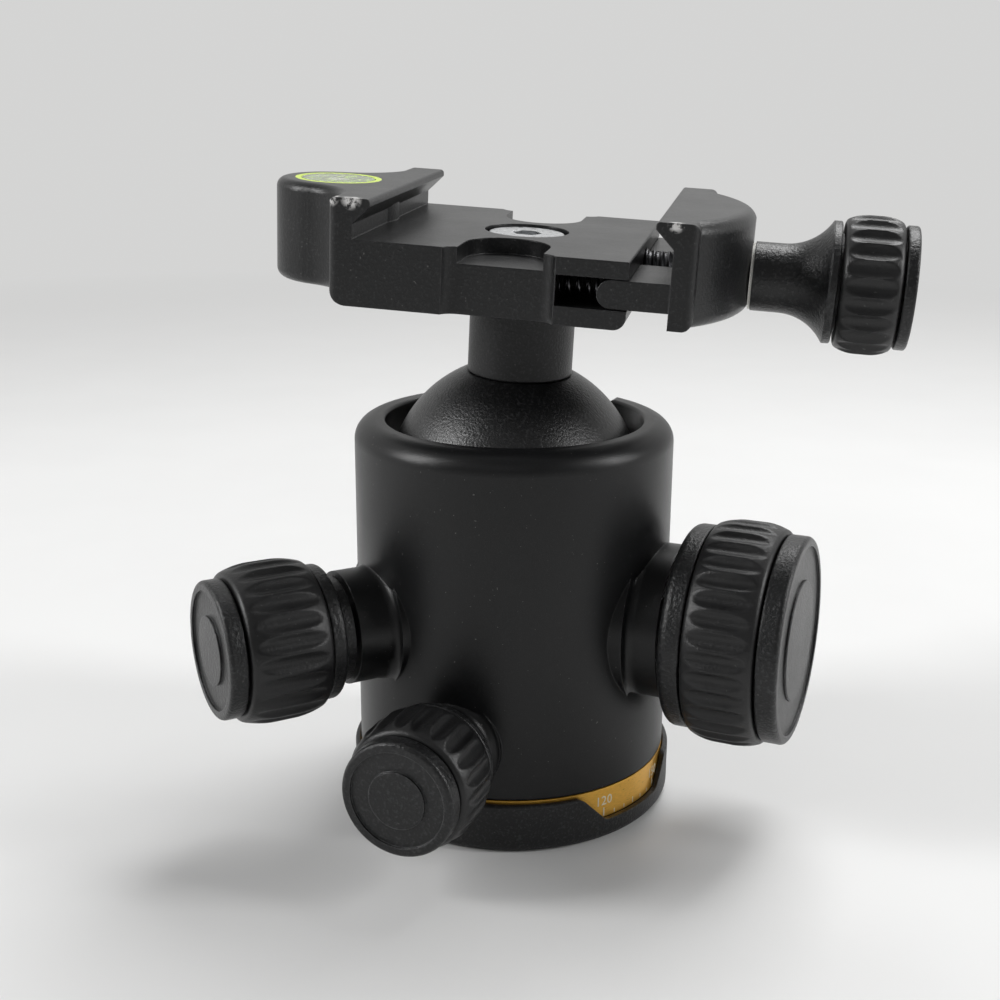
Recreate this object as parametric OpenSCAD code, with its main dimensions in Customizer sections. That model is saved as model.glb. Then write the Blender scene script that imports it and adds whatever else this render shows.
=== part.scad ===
// Tripod ball head: panning base, split-rim housing, ball and stem, and a dovetail clamp with one
// screw-driven jaw. Millimetres. +Z is up, the origin is the centre of the base's underside, and
// the side seen in the photograph faces -Y. Azimuths are counted from -Y towards +X.
// Stations along a knob are counted outwards from the housing's own wall.

/* [Ball and seats] */
// Diameter of the ball
ball_d = 36; // [30:0.5:50]
// Running gap between the ball and its seats
seat_gap = 0.15; // [0.1:0.05:0.2]
// Thickness of the plastic liner under the ball
liner_t = 1.0; // [0.8:0.1:1.5]
// Play between the liner and its cup
liner_play = 0.05; // [0.02:0.01:0.1]
// Room between the ball and the housing's bore
seat_t = 1.2; // [1:0.1:2.5]
// Height of the upper seat ring
upper_seat_h = 4.7; // [3:0.1:6]
// Thickness of the cup's floor under the ball
cup_floor = 3.9; // [3:0.1:6]
// Drop from the ball's centre to the cup's rim
cup_top_drop = 8.3; // [8:0.1:10]
// Height of the liner
liner_h = 6.6; // [4:0.1:8]

/* [Housing] */
// Wall of the housing
wall = 3.45; // [2.5:0.05:6]
// Rise of the rim above the ball's centre
rim_rise = 9.65; // [8:0.05:13]
// Rounding of the rim's outer edge
rim_round = 2.9; // [0.5:0.1:3.2]
// Rounding of the rim's inner edge
rim_inner_round = 0.5; // [0.2:0.1:0.8]
// Step of the bore that the upper seat bears on
rim_step = 0.9; // [0.5:0.1:1.2]
// Azimuth of the drop notch
notch_az = 157; // [120:1:180]
// Play on each side of the stem in the drop notch
notch_play = 0.7; // [0.4:0.1:2]
// Rounding of the notch's top corners
notch_round = 1.8; // [0.5:0.1:2.5]
// Gap between the housing and the base's lip
skirt_gap = 0.4; // [0.2:0.1:1]
// Concave fillet where a boss meets the housing
boss_fillet = 1.3; // [0.5:0.1:2]

/* [Panning base] */
// Thickness of the base's floor
base_floor = 2.9; // [2:0.1:5]
// Rise of the base's lip above its floor
lip_h = 4.3; // [3:0.1:6]
// Wall of the base's lip
lip_wall = 0.7; // [0.5:0.05:2]
// Radial gap between the lip and the degree ring
lip_gap = 0.18; // [0.1:0.01:0.5]
// Rounding of the base's bottom edge
base_round = 1.4; // [0.3:0.1:2.4]
// Azimuth of the middle of the scale window
window_az = 49; // [30:1:60]
// Half the angle of the window's floor
window_half = 14.4; // [8:0.2:20]
// Angle taken by each sloping end of the window
window_ramp = 10; // [5:0.5:14]
// Height of the window's floor above the base's floor
window_sill = 0.15; // [0.05:0.05:1]
// Radial width of the degree ring
ring_w = 3.2; // [2:0.1:3.4]
// Height of the degree ring
ring_h = 4.5; // [3:0.1:6]
// Running gap under the degree ring
ring_gap = 0.15; // [0.1:0.05:0.4]
// Radius of the spindle that the housing pans on
spindle_r = 10; // [8:0.1:11]
// Width of the spindle's foot beyond its shaft
spindle_foot = 3; // [2:0.1:5]
// Thickness of the spindle's foot
foot_t = 2.1; // [1.5:0.1:3]
// Radius of the spigot that centres the spindle in the base
spigot_r = 7; // [6:0.1:7.5]
// Depth of the brake groove
groove_d = 1.6; // [0.8:0.1:2]
// Half the width of the brake groove
groove_half = 2.5; // [2.4:0.1:3]
// Height of the pan bearing
bearing_h = 12.9; // [12:0.1:20]
// Running gap between spindle and bearing
pan_fit = 0.05; // [0.02:0.01:0.1]
// Thickness of the lower pan washer
pan_washer_t = 0.3; // [0.2:0.05:1]
// Thickness of the thrust washer
thrust_t = 0.7; // [0.4:0.1:1.5]
// Height of the spindle nut
nut_h = 2.5; // [2:0.1:4]
// Width of the spindle nut beyond the shaft
nut_wall = 4; // [2.5:0.1:5]
// Space between spindle nut and cup for the disc springs
spring_space = 2.1; // [1.2:0.1:12]
// Thickness of one disc spring
disc_t = 0.5; // [0.3:0.1:0.8]
// Rise of one disc spring's cone
disc_cone = 0.5; // [0.2:0.1:0.8]
// Tapped radius of the tripod screw's hole (3/8-16 UNC)
tripod_r = 3.97; // [3.2:0.01:4.8]
// Depth of the tripod screw's hole
tripod_depth = 15; // [10:0.5:18]
// Shank radius of a base screw
base_screw_r = 1.5; // [1:0.1:2]
// Head radius of a base screw
base_screw_head_r = 2.7; // [2:0.1:3.5]
// Length of a base screw
base_screw_len = 4.7; // [4:0.1:4.8]

/* [Main knob] */
// Azimuth of the main knob
main_az = 67; // [60:1:80]
// Height of the main and friction knobs above the cup's underside
knob_rise = 5.5; // [5:0.1:7]
// Radius of the boss on the housing
main_boss_r = 10.9; // [8:0.1:12]
// Length of the boss beyond the housing's wall
main_boss = 2.75; // [2:0.05:5]
// Gap between the boss and the knob
main_gap = 0.9; // [0.4:0.05:2]
// Radius of the knob's flange
main_flange_r = 14.25; // [12:0.05:17]
// Thickness of the flange
main_flange = 3.1; // [1.5:0.1:5]
// Greatest radius of the grip
main_grip_r = 15.5; // [13:0.1:18]
// Length of the grip
main_grip = 9.7; // [6:0.1:14]
// Radius of the cap
main_cap_r = 14.3; // [12:0.05:17]
// Thickness of the cap
main_cap = 2.9; // [1.5:0.1:4]
// Number of flutes round the grip
main_flutes = 36; // [20:1:44]
// Radius of the stud
main_stud_r = 4; // [3:0.1:5]

/* [Friction knob] */
// Azimuth of the friction knob
friction_az = -61.3; // [-70:0.1:-50]
// Radius of the boss on the housing
friction_boss_r = 7.9; // [6:0.1:9]
// Length of the boss beyond the housing's wall
friction_boss = 4.6; // [3:0.05:6]
// Gap between the boss and the knob's collar
friction_gap = 0.5; // [0.3:0.05:2]
// Length of the collar behind the flange
friction_collar = 1.8; // [0.8:0.1:3]
// Radius of the collar behind the flange
friction_collar_r = 7.3; // [5:0.1:8]
// Radius of the knob's flange
friction_flange_r = 9.35; // [8:0.05:12]
// Thickness of the flange
friction_flange = 2.1; // [1:0.1:4]
// Greatest radius of the grip
friction_grip_r = 10.9; // [9:0.1:13]
// Length of the grip
friction_grip = 11.2; // [7:0.1:14]
// Radius of the cap
friction_cap_r = 9.4; // [8:0.05:12]
// Thickness of the cap
friction_cap = 2.45; // [1.5:0.05:4]
// Number of flutes round the grip
friction_flutes = 25; // [14:1:28]
// Radius of the stud
friction_stud_r = 3; // [2:0.1:4]

/* [Pan knob] */
// Azimuth of the pan knob
pan_az = -21.5; // [-30:0.1:-15]
// Height of the pan knob above the bearing's underside
pan_rise = 9.75; // [9:0.05:10]
// Radius of the boss on the housing
pan_boss_r = 5.8; // [5:0.1:6.5]
// Length of the boss beyond the housing's wall
pan_boss = 2.0; // [1.5:0.05:4]
// Gap between the boss and the knob's collar
pan_gap = 0.5; // [0.3:0.05:2]
// Length of the collar behind the flange
pan_collar = 1.25; // [0.8:0.05:3]
// Radius of the collar behind the flange
pan_collar_r = 5; // [4:0.1:6]
// Radius of the knob's flange
pan_flange_r = 8; // [6.5:0.05:10]
// Thickness of the flange
pan_flange = 1.3; // [1:0.1:3]
// Greatest radius of the grip
pan_grip_r = 9; // [7.5:0.1:11]
// Length of the grip
pan_grip = 8.8; // [6:0.1:12]
// Radius of the cap
pan_cap_r = 7.85; // [6.5:0.05:10]
// Thickness of the cap
pan_cap = 2.4; // [1.5:0.05:4]
// Number of flutes round the grip
pan_flutes = 22; // [12:1:24]
// Radius of the stud
pan_stud_r = 2.5; // [2:0.1:2.5]

/* [Knob details] */
// Wall of the threaded bush around each stud
bush_wall = 2.4; // [1:0.1:2.6]
// Running gap between a stud and its bush
stud_fit = 0.06; // [0.02:0.01:0.1]
// How far the brake tips reach inside the housing's bore
tip_reach = 4.8; // [4:0.1:6]
// Radius of the nose of a brake tip
tip_nose_r = 1.4; // [1:0.1:1.6]
// Play between a brake tip and its socket
tip_play = 0.25; // [0.2:0.05:0.5]
// Groove between flange, grip and cap
groove_w = 0.22; // [0.1:0.02:0.5]
// Rubber between the core and the flange's radius
grip_t = 2.6; // [1.5:0.1:3]
// Fall of the barrel-shaped grip towards its ends
barrel = 0.9; // [0.7:0.05:1.2]
// Depth of a flute at the middle of the grip
flute_d = 0.55; // [0.3:0.05:0.6]
// Radius of the cutter that makes a flute
flute_r = 1.5; // [1:0.1:3]
// Depth of the ring sunk into a cap's face
dish = 0.35; // [0.2:0.05:0.8]
// Width of the rim round a cap's face
cap_rim = 1.3; // [0.8:0.1:2.5]

/* [Stem and clamp] */
// Lean of the stem towards +X, in degrees
lean_x = 2.4; // [-10:0.1:10]
// Lean of the stem towards +Y, in degrees
lean_y = -2.9; // [-10:0.1:10]
// Turn of the clamp about the stem, in degrees
head_yaw = -11; // [-30:0.5:30]
// Radius of the stem
stem_r = 7.3; // [6:0.1:8.5]
// Length of the stem between the ball and the clamp
stem_len = 11.1; // [8:0.1:20]
// Thickness of the platform
plate_t = 8.5; // [8:0.1:14]
// Length of the jaws
jaw_len = 38.2; // [34:0.2:60]
// Distance from the stem's axis to the fixed jaw's root
fixed_root = 18.8; // [18:0.1:24]
// Distance from the stem's axis to the platform's open end
plate_end = 16.3; // [15:0.1:22]
// Height of the jaws above the platform
jaw_h = 5.1; // [4:0.1:7]
// Overhang of the dovetail
over = 2.3; // [1.5:0.1:2.6]
// Upright wall below the dovetail
jaw_wall = 1.9; // [1.5:0.1:2.2]
// Thickness of the fixed jaw at its ends
fixed_t = 3.2; // [2.5:0.1:5]
// Thickness of the moving jaw at its ends
moving_t = 3.0; // Reach of the moving jaw's domed back
moving_bump = 9.0; // [7:0.1:14]
// Distance of the dome's foot from the jaw's ends
dome_in = 2.1; // [1.5:0.1:6]
// Radius of the sweep from the level's block into the jaw
block_sweep = 8.0; // [2:0.1:12]
// Rounding of the jaws' end corners
jaw_corner = 1.2; // [0.4:0.1:1.8]
// How far the moving jaw stands open
jaw_open = 5.1; // [5:0.1:6]
// Length of the guide tongues
tongue_len = 9.0; // [8:0.1:12]
// Thickness of the guide tongues
tongue_t = 3.6; // [2.5:0.1:4]
// Drop from the platform to the middle of the tongues
tongue_drop = 4.15; // [4:0.05:5]
// Running gap round the guide tongues
tongue_gap = 0.15; // [0.1:0.01:0.3]
// Half the width of the web between the guide slots
web_half = 5.8; // [4.5:0.1:7]
// Drop from the platform to the clamp screw's axis
screw_drop = 3.6; // [3.4:0.05:5]
// Radius of the clamp screw
screw_r = 2.5; // [2:0.1:2.5]
// Radius of the round end of a stop-pin pocket
pocket_r = 5.5; // [4:0.1:7]
// Distance from the stem's axis to a pocket's round end
pocket_in = 7.8; // [7:0.1:10]
// Depth of the stop-pin pockets
pocket_d = 2.1; // [1:0.05:2.2]
// Depth of the finger scoops in the platform's long sides
scoop_d = 1.2; // [0.5:0.1:1.6]
// Radius of the recess for the centre bolt's head
bolt_recess_r = 5.75; // [5:0.05:5.9]
// Radius of the centre bolt's head
bolt_head_r = 5.2; // [4:0.05:5.4]
// Height of the centre bolt's head
bolt_head_h = 3.0; // [2:0.1:3.5]
// Radius of the centre bolt's shank
bolt_r = 3; // [2:0.1:3.5]
// Reach of the centre bolt into the ball
bolt_reach = 8; // [5:0.5:12]

/* [Clamp knob] */
// Radius of the knob's neck
neck_r = 4.55; // [3.5:0.05:5]
// Straight length of the neck
neck = 3.7; // [2:0.1:10]
// Length of the flare
flare = 6.0; // [3.6:0.1:9]
// Radius of the knob's disc
clamp_disc_r = 8; // [7:0.05:10]
// Thickness of the disc
clamp_disc = 1.1; // [0.8:0.1:3]
// Greatest radius of the grip
clamp_grip_r = 9.05; // [8:0.05:12]
// Length of the grip
clamp_grip = 7.6; // [5:0.1:12]
// Radius of the cap
clamp_cap_r = 8.07; // [7:0.05:10]
// Thickness of the cap
clamp_cap = 1.6; // [1:0.1:3]
// Number of flutes round the grip
clamp_flutes = 24; // [12:1:24]
// Thickness of the washer under the neck
clamp_washer = 0.35; // [0.2:0.05:1]

/* [Bubble level] */
// Radius of the level
level_r = 5.9; // [4.5:0.1:7.5]
// Metal between the fixed jaw's root and the level
level_edge = 2.0; // [1.5:0.1:4]
// Wall around the level
level_rim = 2.5; // [1.8:0.1:5]
// Height of the level
level_h = 4.8; // [3.5:0.1:6]
// Wall of the level's cup
level_wall = 0.75; // [0.5:0.05:1]
// Thickness of the level's lens
lens_t = 1.0; // [0.6:0.1:1.5]
// Radius of the air bubble
bubble_r = 1.5; // [1:0.1:2]

/* [Jaw springs] */
// Wire diameter
wire_d = 0.45; // [0.35:0.05:0.6]
// Mean radius of the coil
coil_r = 1.25; // [1:0.05:1.3]
// Number of turns
coil_turns = 9; // [5:1:10]
// Distance of the springs from the jaws' ends
coil_in = 5; // [3.5:0.1:8]
// Depth of the spring's pocket beyond the guide slot
coil_pocket = 6; // [4.5:0.1:7]

/* [Hidden] */
$fn = 96;
eps = 0.01;
// centres one piece in another of the same body
snug = 0.02;

// Radii of the housing
ball_r = ball_d / 2;
bore_r = ball_r + seat_t;
body_r = bore_r + wall;
rim_bore_r = bore_r - rim_step;
seat_r = ball_r + seat_gap;
liner_r = seat_r + liner_t;
cup_r = liner_r + liner_play;
lip_in_r = body_r + lip_gap;
base_r = lip_in_r + lip_wall;

// Heights, from the base's underside upwards
lip_top = base_floor + lip_h;
body_bottom = lip_top + skirt_gap;
foot_top = base_floor + foot_t;
bearing_bottom = foot_top + pan_washer_t;
bearing_top = bearing_bottom + bearing_h;
nut_bottom = bearing_top + thrust_t;
nut_top = nut_bottom + nut_h;
nut_r = spindle_r + nut_wall;
base_screw_pcd_r = (spigot_r + spindle_r + spindle_foot) / 2;
cup_bottom = nut_top + spring_space;
ball_z = cup_bottom + cup_floor + cup_r;
body_top = ball_z + rim_rise;
main_z = cup_bottom + knob_rise;
friction_z = main_z;
pan_z = bearing_bottom + pan_rise;
seat_low = 0.6;
seat_top = ball_z + seat_low + upper_seat_h;
cup_top = ball_z - cup_top_drop;

// The clamp, from the ball's centre along the stem
foot_ring = 0.3;
ball_flat = sqrt(ball_r * ball_r - pow(stem_r + foot_ring, 2));
plate_w = ball_flat + stem_len + plate_t;
lean = sqrt(lean_x * lean_x + lean_y * lean_y);
jaw_half = jaw_len / 2;
moving_root = plate_end + jaw_open;
slot_end = moving_root - tongue_len - jaw_open;
level_u = -fixed_root - level_edge - level_r;
knob_u = moving_root + moving_bump;

BLACK = "#1b1c1e";
SATIN = "#26282a";
RUBBER = "#17181a";
STEEL = "#a9abad";
BRASS = "#c9a04c";
PLASTIC = "#d9d7cc";

// ---------------------------------------------------------------- helpers

// Local +Z points outwards along a knob's axis and is 0 at the housing's axis
module outwards(az, z) {
    translate([0, 0, z]) rotate([0, 0, az - 90]) rotate([0, 90, 0]) children();
}

// The head's own frame: the ball's centre, with +Z along the stem
module head() {
    translate([0, 0, ball_z]) rotate(a = lean, v = [-lean_y, lean_x, 0])
        rotate([0, 0, head_yaw]) children();
}

// The clamp's frame: the centre of the platform's top, +X towards the clamp knob
module plate() {
    head() translate([0, 0, plate_w]) children();
}

// The clamp screw's axis, local +Z towards the clamp knob
module screw_line() {
    plate() translate([0, 0, -screw_drop]) rotate([0, 90, 0]) children();
}

module ring(r_out, r_in, h) {
    difference() {
        cylinder(r = r_out, h = h);
        translate([0, 0, -1]) cylinder(r = r_in, h = h + 2);
    }
}

// The square left beside a quarter circle: cut from a convex corner, or added to a concave one
module corner(x, y, r, sx, sy) {
    translate([x, y]) difference() {
        translate([sx > 0 ? -eps : -r, sy > 0 ? -eps : -r]) square(r + eps);
        translate([sx * r, sy * r]) circle(r);
    }
}

// Turned disc with its lower and upper edges rounded
module turned(r, h, low, high) {
    rotate_extrude() difference() {
        square([r, h]);
        corner(r, 0, low, -1, 1);
        corner(r, h, high, -1, -1);
    }
}

// Box profile along the jaws: X across the jaws, Y up
module along_jaws(length) {
    rotate([90, 0, 0]) linear_extrude(length, center = true) children();
}

// ---------------------------------------------------------------- panning base

// Opening with sloping, rounded ends, cut straight out through the lip
module window_cut() {
    low = base_floor + window_sill;
    tall = lip_top - low;
    in_x = base_r * sin(window_half);
    out_x = base_r * sin(window_half + window_ramp);
    slope = atan2(tall, out_x - in_x);
    soft = min(1.6, tall * 0.4);
    t = soft * tan(slope / 2);
    rotate([0, 0, window_az]) translate([0, -base_r + lip_wall + ring_w - 1, 0])
        rotate([90, 0, 0]) linear_extrude(ring_w + 5) difference() {
        union() {
            polygon([[-in_x, low], [in_x, low], [out_x, lip_top], [out_x, lip_top + 2],
                [-out_x, lip_top + 2], [-out_x, lip_top]]);
            for (s = [-1, 1]) difference() {
                polygon([[s * (out_x + t), lip_top + 2], [s * (out_x + t), lip_top],
                    [s * (out_x + t), lip_top - soft],
                    [s * (out_x - t * cos(slope)), lip_top - t * sin(slope)],
                    [s * (out_x - t * cos(slope)), lip_top + 2]]);
                translate([s * (out_x + t), lip_top - soft]) circle(soft);
            }
        }
        for (s = [-1, 1]) difference() {
            polygon([[s * (in_x - t), low - eps], [s * (in_x - t), low + soft],
                [s * (in_x + t * cos(slope)), low + t * sin(slope)],
                [s * (in_x + 1), low - eps]]);
            translate([s * (in_x - t), low + soft]) circle(soft);
        }
    }
}

module base_disc() {
    color(BLACK) difference() {
        turned(base_r, lip_top, base_round, lip_wall * 0.48);
        translate([0, 0, base_floor]) cylinder(r = lip_in_r, h = lip_h + 1);
        translate([0, 0, -1]) cylinder(r = spigot_r + snug, h = base_floor + 2);
        window_cut();
        base_screw_places() {
            translate([0, 0, -1]) cylinder(r = base_screw_r + snug, h = base_floor + 2);
            translate([0, 0, -eps]) cylinder(r1 = base_screw_head_r + snug, r2 = base_screw_r + snug,
                h = base_screw_head_r - base_screw_r + eps);
        }
    }
}

module base_screw_places() {
    for (a = [30 : 120 : 270])
        rotate([0, 0, a]) translate([base_screw_pcd_r, 0, 0]) children();
}

module base_screws() {
    head_h = base_screw_head_r - base_screw_r;
    color(STEEL) base_screw_places() difference() {
        union() {
            translate([0, 0, 0.1]) cylinder(r1 = base_screw_head_r - 0.1, r2 = base_screw_r,
                h = head_h - 0.1);
            translate([0, 0, 0.1]) cylinder(r = base_screw_r, h = base_screw_len - 0.1);
        }
        translate([0, 0, -eps]) cylinder(r = base_screw_r * 0.75, h = 1.1, $fn = 6);
    }
}

module pan_spindle() {
    color(STEEL) difference() {
        union() {
            cylinder(r = spigot_r, h = base_floor + eps);
            translate([0, 0, base_floor]) cylinder(r = spindle_r + spindle_foot, h = foot_t);
            translate([0, 0, base_floor]) cylinder(r = spindle_r, h = nut_top - base_floor - 0.2);
        }
        translate([0, 0, pan_z]) rotate_extrude() polygon([
            [spindle_r + 1, -groove_half], [spindle_r, -groove_half],
            [spindle_r - groove_d, -tip_nose_r - tip_play],
            [spindle_r - groove_d, tip_nose_r + tip_play],
            [spindle_r, groove_half], [spindle_r + 1, groove_half]]);
        translate([0, 0, -1]) cylinder(r = tripod_r, h = tripod_depth + 1);
        base_screw_places() {
            cylinder(r = base_screw_r + snug, h = base_screw_len + 0.5);
            translate([0, 0, -eps]) cylinder(r1 = base_screw_head_r + snug,
                r2 = base_screw_r + snug, h = base_screw_head_r - base_screw_r + eps);
        }
    }
}

module pan_washer() {
    color(PLASTIC) translate([0, 0, foot_top])
        ring(spindle_r + spindle_foot, spindle_r + pan_fit, pan_washer_t);
}

module thrust_washer() {
    color(STEEL) translate([0, 0, bearing_top])
        ring(nut_r - 0.3, spindle_r + pan_fit, thrust_t);
}

module spindle_nut() {
    slots = 4;
    color(STEEL) translate([0, 0, nut_bottom]) difference() {
        ring(nut_r, spindle_r + snug, nut_h);
        for (i = [0 : slots - 1]) rotate([0, 0, i * 360 / slots])
            translate([nut_r - 1.2, -1.2, 0.8]) cube([3, 2.4, nut_h]);
    }
}

// ---------------------------------------------------------------- housing and its contents

module notch_cut(half, extra) {
    reach = body_r + 6;
    depth = rim_rise + 1;
    translate([0, 0, ball_z]) rotate([0, 0, notch_az - 90]) rotate([90, 0, 90])
        translate([0, 0, 8]) linear_extrude(reach) {
            circle(half);
            translate([-half, 0]) square([2 * half, depth]);
            if (extra > 0) for (s = [-1, 1])
                corner(s * (half - eps), rim_rise + 2 * eps, extra, s, -1);
        }
}

// Boss with a concave fillet at the housing's wall
module boss(az, z, r, length, inset) {
    outwards(az, z) {
        cylinder(r = r, h = body_r + length);
        rotate_extrude() difference() {
            square([r + boss_fillet, body_r - inset + boss_fillet]);
            translate([r + boss_fillet, body_r - inset + boss_fillet]) circle(boss_fillet);
        }
    }
}

// Depth by which a boss of radius r meets the round wall below its crown, at mid-flank
function boss_inset(r) = (body_r - sqrt(body_r * body_r - r * r)) * 0.6;

module housing() {
    color(SATIN) difference() {
        union() {
            translate([0, 0, body_bottom]) turned(body_r, body_top - body_bottom, 0.3, rim_round);
            boss(main_az, main_z, main_boss_r, main_boss, boss_inset(main_boss_r));
            boss(friction_az, friction_z, friction_boss_r, friction_boss,
                boss_inset(friction_boss_r));
            boss(pan_az, pan_z, pan_boss_r, pan_boss, boss_inset(pan_boss_r));
        }
        translate([0, 0, body_bottom - 1]) cylinder(r = bore_r, h = seat_top - body_bottom + 1);
        translate([0, 0, seat_top - 1]) cylinder(r = rim_bore_r, h = rim_rise + 2);
        rotate_extrude() translate([0, body_top])
            corner(rim_bore_r, 0, rim_inner_round, 1, -1);
        notch_cut(stem_r + notch_play, notch_round);
        outwards(main_az, main_z)
            cylinder(r = main_stud_r + bush_wall + snug, h = body_r + main_boss + 1);
        outwards(friction_az, friction_z)
            cylinder(r = friction_stud_r + bush_wall * 0.75 + snug, h = body_r + friction_boss + 1);
        outwards(pan_az, pan_z)
            cylinder(r = pan_stud_r + bush_wall * 0.6 + snug, h = body_r + pan_boss + 1);
    }
}

module degree_ring() {
    color(BRASS) translate([0, 0, base_floor + ring_gap])
        ring(body_r - 0.02, body_r - ring_w, ring_h);
}

module pan_bearing() {
    step = body_bottom - bearing_bottom;
    color(BLACK) difference() {
        union() {
            translate([0, 0, bearing_bottom])
                cylinder(r = body_r - ring_w - snug, h = step);
            translate([0, 0, bearing_bottom]) cylinder(r = bore_r - 0.05, h = bearing_h);
        }
        translate([0, 0, bearing_bottom - 1]) cylinder(r = spindle_r + pan_fit, h = bearing_h + 2);
        outwards(pan_az, pan_z) cylinder(r = pan_stud_r + 0.1, h = bore_r + 1);
    }
}

module upper_seat() {
    low = ball_z + seat_low;
    color(PLASTIC) difference() {
        translate([0, 0, low]) cylinder(r = bore_r - 0.05, h = seat_top - low);
        translate([0, 0, ball_z]) sphere(seat_r);
        translate([0, 0, low - 1]) cylinder(r = ball_r - 1.5, h = upper_seat_h + 3);
        notch_cut(stem_r + notch_play + 0.3, 0);
    }
}

// Coned socket for a brake tip, opening outwards
module tip_socket(az, z, r) {
    outwards(az, z) {
        translate([0, 0, bore_r - tip_reach - tip_play])
            cylinder(r1 = tip_nose_r + tip_play, r2 = r + tip_play, h = tip_reach * 0.6);
        translate([0, 0, bore_r - tip_reach * 0.4 - tip_play - eps])
            cylinder(r = r + tip_play, h = tip_reach);
    }
}

module lower_cup() {
    color(STEEL) difference() {
        translate([0, 0, cup_bottom]) cylinder(r = bore_r - 0.15, h = cup_top - cup_bottom);
        translate([0, 0, ball_z]) sphere(cup_r);
        tip_socket(main_az, main_z, main_stud_r - 0.6);
        tip_socket(friction_az, friction_z, friction_stud_r - 0.1);
    }
}

module disc_springs() {
    one = disc_t + disc_cone;
    count = max(1, floor(spring_space / one));
    pitch = spring_space / count;
    rise = pitch - disc_t;
    color(STEEL) for (i = [0 : count - 1])
        translate([0, 0, nut_top + i * pitch + (i % 2 == 0 ? 0 : pitch)])
        mirror([0, 0, i % 2]) rotate_extrude() polygon([
            [spindle_r - 3, rise], [nut_r - 2, 0], [nut_r - 2, disc_t],
            [spindle_r - 3, disc_t + rise]]);
}

module seat_liner() {
    color(PLASTIC) difference() {
        translate([0, 0, cup_top - 0.2 - liner_h]) cylinder(r = bore_r, h = liner_h);
        translate([0, 0, ball_z]) sphere(seat_r);
        translate([0, 0, ball_z]) difference() {
            translate([0, 0, -2 * ball_r]) cylinder(r = 2 * ball_r, h = 2 * ball_r);
            sphere(liner_r);
        }
    }
}

// ---------------------------------------------------------------- knobs

module bush(az, z, r, wall_t, end) {
    color(BRASS) outwards(az, z) difference() {
        translate([0, 0, bore_r + 0.1]) cylinder(r = r + wall_t, h = body_r + end - bore_r - 0.1);
        cylinder(r = r + stud_fit, h = body_r + end + 1);
    }
}

// Brake tip that the stud pushes; its nose points inwards
module brake_tip(az, z, r, nose, tail) {
    cone = (tail - nose) * 0.6;
    color(BRASS) outwards(az, z) translate([0, 0, nose]) {
        cylinder(r1 = tip_nose_r, r2 = r, h = cone);
        translate([0, 0, cone]) cylinder(r = r, h = tail - nose - cone);
    }
}

module stud(az, z, r, low, high) {
    color(STEEL) outwards(az, z) translate([0, 0, low]) cylinder(r = r, h = high - low);
}

// Metal core of a knob: collar, flange and the drum under the rubber grip
module hub(collar_r, collar_l, flange_r, flange_l, grip_l, stud_r, stud_end) {
    drum = flange_r - grip_t;
    difference() {
        union() {
            cylinder(r = collar_r, h = collar_l + eps);
            translate([0, 0, collar_l]) turned(flange_r, flange_l, flange_l * 0.38, 0.25);
            cylinder(r = drum, h = collar_l + flange_l + grip_l + 2 * groove_w);
        }
        translate([0, 0, -1]) cylinder(r = stud_r + snug, h = stud_end + 1);
    }
}

// Barrel-shaped rubber ring with pointed flutes
module grip(r, drum, length, flutes) {
    straight = length * 0.24;
    arc = (pow((length - straight) / 2, 2) + barrel * barrel) / (2 * barrel);
    difference() {
        rotate_extrude($fn = 72) difference() {
            translate([drum, 0]) square([r - drum, length]);
            for (s = [-1, 1]) translate([r - arc, (length + s * straight) / 2]) difference() {
                translate([0, s > 0 ? 0 : -length]) square([arc + 1, length]);
                circle(arc, $fn = 96);
            }
            corner(r - barrel, 0, 0.45, -1, 1, $fn = 24);
            corner(r - barrel, length, 0.45, -1, -1, $fn = 24);
        }
        for (i = [0 : flutes - 1]) rotate([0, 0, (i + 0.5) * 360 / flutes])
            translate([r - flute_d + flute_r, 0, -1])
            cylinder(r = flute_r, h = length + 2, $fn = 28);
    }
}

// Turned cap: a rim, a sunk ring and a raised middle
module cap(r, t, middle_r, hole_r) {
    difference() {
        turned(r, t, 0.3, t * 0.24);
        translate([0, 0, t - dish]) ring(r - cap_rim, middle_r, dish + 1);
        if (hole_r > 0) translate([0, 0, t - dish * 2]) cylinder(r = hole_r, h = t);
    }
}

main_face = body_r + main_boss + main_gap;
friction_face = body_r + friction_boss + friction_gap;
pan_face = body_r + pan_boss + pan_gap;
main_disc_r = main_cap_r * 0.58;
main_tail = bore_r + 0.4;
pan_nose = spindle_r - groove_d + tip_play;

module main_hub() {
    color(BLACK) outwards(main_az, main_z) translate([0, 0, main_face])
        hub(main_stud_r + 2, 0.1, main_flange_r, main_flange, main_grip, main_stud_r, 9);
}

module main_grip_ring() {
    color(RUBBER) outwards(main_az, main_z)
        translate([0, 0, main_face + 0.1 + main_flange + groove_w])
        grip(main_grip_r, main_flange_r - grip_t + snug, main_grip, main_flutes);
}

module main_cap_plate() {
    color(BLACK) outwards(main_az, main_z)
        translate([0, 0, main_face + 0.1 + main_flange + main_grip + 2 * groove_w])
        cap(main_cap_r, main_cap, main_disc_r, main_disc_r + snug);
}

module main_cap_disc() {
    color(SATIN) outwards(main_az, main_z)
        translate([0, 0, main_face + 0.1 + main_flange + main_grip + 2 * groove_w
            + main_cap - dish * 2])
        turned(main_disc_r, dish * 2, 0.05, 0.2);
}

module friction_hub() {
    color(BLACK) outwards(friction_az, friction_z) translate([0, 0, friction_face])
        hub(friction_collar_r, friction_collar, friction_flange_r, friction_flange,
            friction_grip, friction_stud_r, 10);
}

module friction_grip_ring() {
    color(RUBBER) outwards(friction_az, friction_z)
        translate([0, 0, friction_face + friction_collar + friction_flange + groove_w])
        grip(friction_grip_r, friction_flange_r - grip_t + snug, friction_grip, friction_flutes);
}

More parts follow.
